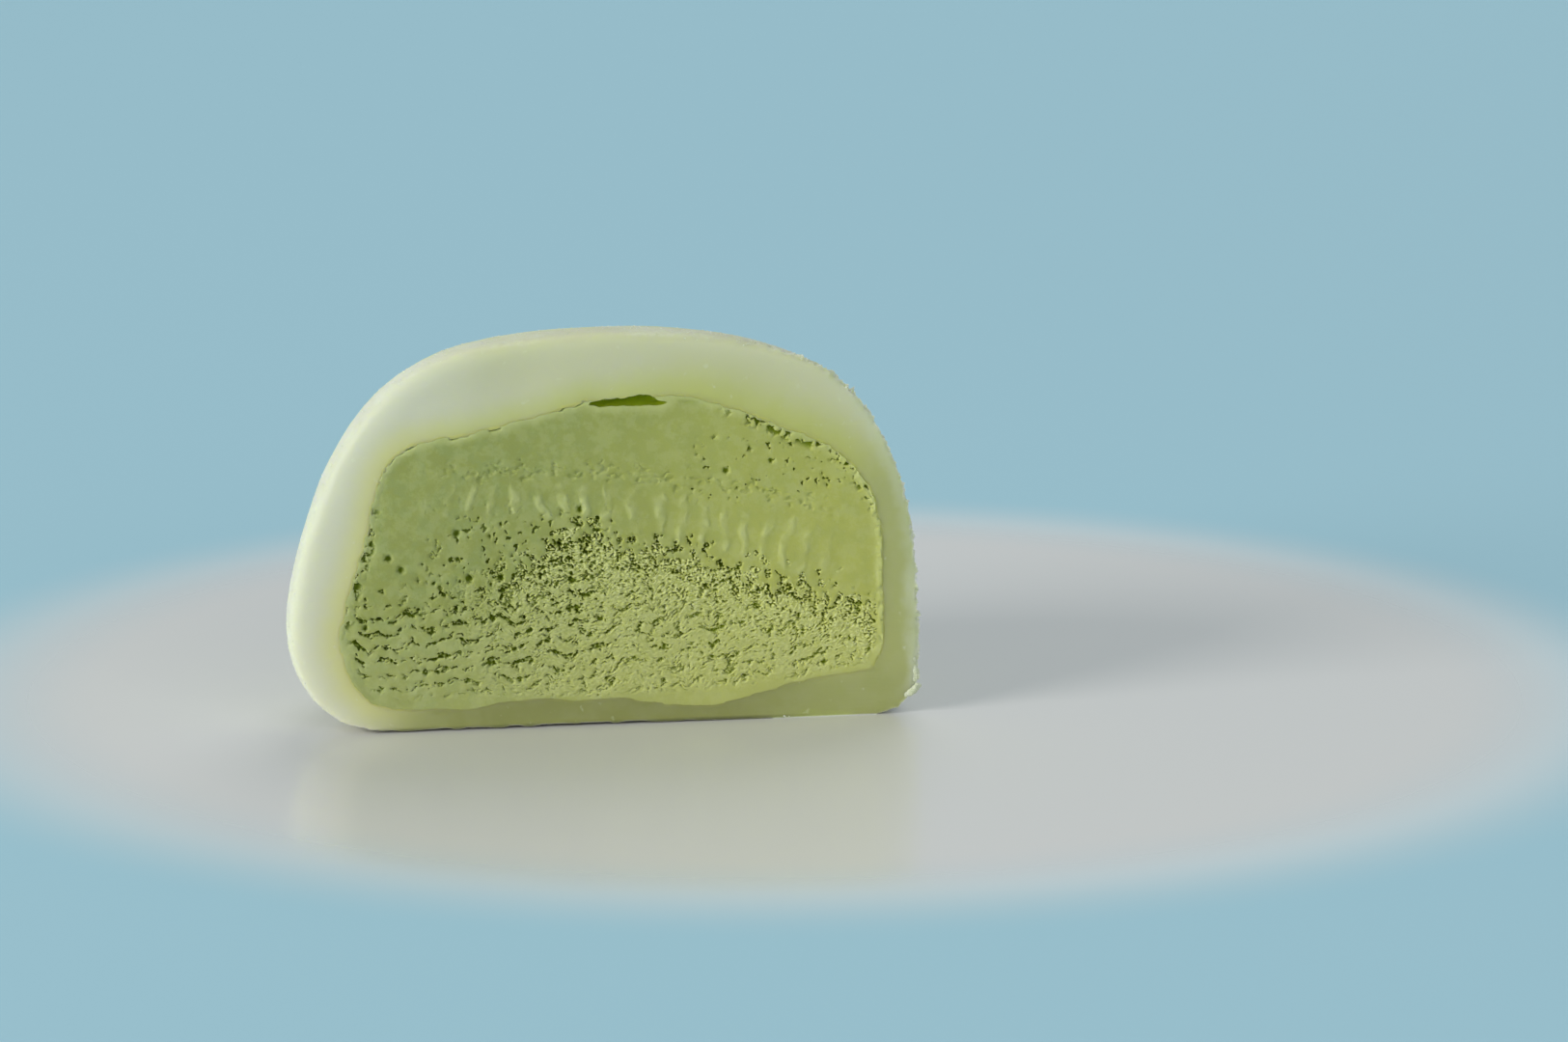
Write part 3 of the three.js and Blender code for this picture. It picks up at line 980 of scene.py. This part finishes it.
def doughMaterial(grainGroup):
    material, shader, place = startMaterial("riceDough")
    x, y, z = split(place)
    near = attribute("nearFilling")
    outside = attribute("outside")
    mottled = noise(place, 2.5 * mm, 3.0, 0.55)
    upper = product(ramp(z, 20 * mm, 27 * mm), ramp(x, -16 * mm, -6 * mm))
    base = mixColour(upper, dough["pale"], dough["paleTop"])

    # painted light: the cut glows yellow around the filling, whose colour shows through the dough, paler at
    # the left where the light falls and darker at the right in shade
    toRight = ramp(x, -5 * mm, 15 * mm)
    glow = ramp(calc("DIVIDE", near, ramp(toRight, 0, 1, 2.7, 4.8)), 1.0, 0.0)
    glowColour = layered(dough["yellow"], (toRight, dough["yellowShaded"]),
                         (ramp(x, -9 * mm, -17 * mm), dough["yellowLit"]))

    # painted shade: the right wall and the bottom of the cut are darker, partly also because the dough is
    # thinner there; frost lies along the outer edge
    rightShade = product(ramp(x, 17 * mm, 21.5 * mm), ramp(z, 24 * mm, 17 * mm))
    slant = minus(x, product(z, 0.8))
    lowShade = product(ramp(z, 5 * mm, 2.2 * mm), ramp(slant, -21 * mm, -13 * mm))
    # the painted shade along the bottom is lighter towards both ends
    lighterLowShade = calc("MAXIMUM", ramp(x, 8 * mm, 19 * mm), ramp(x, -8 * mm, -17 * mm, 0.0, 0.5))
    lowShadeColour = mixColour(lighterLowShade, dough["lowOliveShade"], dough["lowOliveShadeRight"])
    edge = ramp(total(attribute("nearEdge"), product(mottled, 2.4)), 2.6, 1.1)
    frosty = product(edge, ramp(x, 15 * mm, 21 * mm), ramp(z, 18 * mm, 2 * mm, 0.5, 0.85),
                     ramp(z, 0.8 * mm, 3.2 * mm))
    # painted shade inside the slit, in the saturated green of light coming through the dough
    inPocket = product(ramp(y, cutY + 0.05 * mm, cutY + 0.3 * mm), ramp(near, 0.9, 0.5))
    # painted light along the seam, weaker where the painted shade of the bottom lies
    seamLift = product(ramp(near, 0.36, 0.04, 0.0, 0.68), ramp(lowShade, 0, 1, 1.0, 0.3))
    smears = product(ramp(noise(place, 0.8 * mm, 2.0, 0.5, shift=(8, 1, 4)), 0.66, 0.78), 0.35)
    cutColour = layered(base, (glow, glowColour), (rightShade, dough["oliveShade"]), (lowShade, lowShadeColour),
                        (ramp(mottled, 0.42, 0.6, 0.0, 0.05), dough["pale"]), (frosty, dough["frost"]),
                        (inPocket, dough["pocket"]), (seamLift, dough["seam"]), (smears, dough["powder"]))

    # outside, powder lies in patches over the green, thickest low down
    powdered, dust = placeGrain(grainGroup, place, dough["dustSize"], 0.34, 0.62)
    patches = ramp(noise(place, 3.5 * mm, 3.0, 0.6, shift=(1, 5, 2)), 0.40, 0.62, 0.0, 0.42)
    coat = total(patches, ramp(z, 15 * mm, 2 * mm, 0.06, 0.50))
    veil = product(coat, ramp(powdered, 0, 1, 0.55, 1.0), ramp(z, 0.3 * mm, 1.0 * mm))
    bare = mixColour(ramp(y, cutY + 1.5 * mm, cutY + 7 * mm), base, dough["green"])
    # painted contact shadow on the base's underside along the cut
    contactShadowMask = product(ramp(z, 0.42 * mm, 0.12 * mm), ramp(x, 18 * mm, 8 * mm),
                         ramp(y, cutY + 4 * mm, cutY + 2 * mm))
    finish = layered(cutColour, (outside, mixColour(veil, bare, dough["powder"])),
                     (contactShadowMask, dough["underside"]))
    link(finish, shader.inputs["Base Color"])
    link(ramp(outside, 0, 1, dough["cutRoughness"], dough["outerRoughness"]), shader.inputs["Roughness"])
    setScatter(shader, dough["scatterRadius"], dough["scatter"])
    drawn = noise(place, dough["strokeSize"], 2.0, 0.55, (9, 1, 1))
    strokes = product(drawn, inverse(outside), ramp(x, 2 * mm, 16 * mm, 0.25, 1.0))
    first = addBump(shader, strokes, dough["strokeBump"])
    addBump(shader, product(dust, outside), dough["dustBump"], first)
    return material


tones = {                         # of the ice cream
    "left": (0.315, 0.35, 0.098, 1), "right": (0.435, 0.455, 0.115, 1), "cool": (0.30, 0.36, 0.13, 1),
    # hollow and hollowRight: painted shade for pits, gaps and specks, partly their deeper colour
    "hollow": (0.12, 0.165, 0.005, 1), "hollowRight": (0.205, 0.26, 0.008, 1), "rim": (0.56, 0.595, 0.285, 1),
    "edge": (0.57, 0.61, 0.28, 1),               # where it meets the dough: paler, partly its own colour, partly painted light for light lost into its hidden sides
    # fleck: the paler crumb tops, partly painted highlight
    "fleck": (0.66, 0.685, 0.31, 1), "pocket": (0.21, 0.275, 0.0, 1),
    "scatterRadius": (1.0, 1.0, 0.4), "scatter": 0.18 * mm,
    "faceRoughness": 0.6, "holeRoughness": 1.0, "specular": 0.3,
    "grainSize": 0.13 * mm, "bump": (0.3, 0.045 * mm),
}


def creamMaterial(grainGroup):
    material, shader, place = startMaterial("iceCream")
    x, y, z = split(place)
    raised = attribute("relief")
    toRight = ramp(minus(x, product(z, 0.35)), -17 * mm, 14 * mm)
    smooth = mixColour(toRight, tones["left"], tones["right"])
    # painted shade, partly deeper colour, for the pits, gaps and specks
    shade = mixColour(toRight, tones["hollow"], tones["hollowRight"])
    coolness = product(ramp(noise(place, 1.5 * mm, 3.0, 0.55, shift=(4, 2, 9)), 0.44, 0.62),
                       ramp(x, 4 * mm, -10 * mm, 0.15, 0.5), inverse(attribute("torn")))
    blotches = ramp(noise(place, 0.9 * mm, 3.0, 0.6), 0.42, 0.62, 0.0, 0.19)
    # specks: tiny dark dots of painted shade among the crumbs
    specks = product(ramp(noise(place, 0.13 * mm, 1.0, 0.5, shift=(2, 7, 7)), 0.44, 0.33),
                     attribute("crumbs"), 0.4)
    # painted shade inside the slit, in the saturated green of light coming through the dough
    inPocket = product(ramp(y, cutY + 0.05 * mm, cutY + 0.35 * mm), ramp(z, 24.0 * mm, 24.7 * mm))
    finish = layered(smooth, (coolness, tones["cool"]), (blotches, tones["rim"]),
                     (product(attribute("deep"), 0.2), tones["rim"]),
                     (product(attribute("rim"), 0.62), tones["edge"]),
                     (product(attribute("crumbs"), 0.9), tones["fleck"]), (specks, shade),
                     (ramp(raised, -0.02, -0.30), shade),
                     (product(attribute("drops"), 0.54), tones["rim"]), (inPocket, tones["pocket"]))
    link(finish, shader.inputs["Base Color"])
    rough = calc("MAXIMUM", inPocket, ramp(raised, -0.03, -0.2))
    link(ramp(rough, 0, 1, tones["faceRoughness"], tones["holeRoughness"]), shader.inputs["Roughness"])
    shader.inputs["Specular IOR Level"].default_value = tones["specular"]
    setScatter(shader, tones["scatterRadius"], tones["scatter"])
    addBump(shader, placeGrain(grainGroup, place, tones["grainSize"], 0.4, 0.6)[1], tones["bump"])
    return material


powder = {
    "dustDull": (0.62, 0.66, 0.49, 1), "dustPale": (0.74, 0.77, 0.63, 1),
    "dampDull": (0.50, 0.54, 0.36, 1), "dampPale": (0.64, 0.67, 0.52, 1),
    "scatterRadius": (1.0, 1.0, 0.8), "scatter": 0.15 * mm, "roughness": 0.9,
    "grainSize": 0.1 * mm, "bump": (0.3, 0.03 * mm),
}


def starchMaterial(name, grainGroup, dull, pale):
    material, shader, place = startMaterial(name)
    clumped, height = placeGrain(grainGroup, place, powder["grainSize"], 0.4, 0.6)
    link(mixColour(clumped, dull, pale), shader.inputs["Base Color"])
    shader.inputs["Roughness"].default_value = powder["roughness"]
    setScatter(shader, powder["scatterRadius"], powder["scatter"])
    addBump(shader, height, powder["bump"])
    return material


makeCamera()
makeStage()
makeLight()
print("camera, stage and light ready")

fillingBody = makeFillingBody()
slitCutter = makeSlitCutter()
doughSkin = makeSkin(fillingBody, slitCutter)
iceCream = makeIceCream(fillingBody, slitCutter)
remove(fillingBody)
remove(slitCutter)
starchGrains = makeGrains(doughSkin)
starchFlakes = makeFlakes()

grainGroup = fineGrain()
dress(doughSkin, doughMaterial(grainGroup))
dress(iceCream, creamMaterial(grainGroup))
dress(starchGrains, starchMaterial("starchDust", grainGroup, powder["dustDull"], powder["dustPale"]))
dress(starchFlakes, starchMaterial("dampStarch", grainGroup, powder["dampDull"], powder["dampPale"]))
print("materials ready")

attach(doughSkin, "root")
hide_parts("mochi_skin")
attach(iceCream, "root")
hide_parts("ice_cream_core")
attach(starchGrains, "root")
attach(starchFlakes, "root")
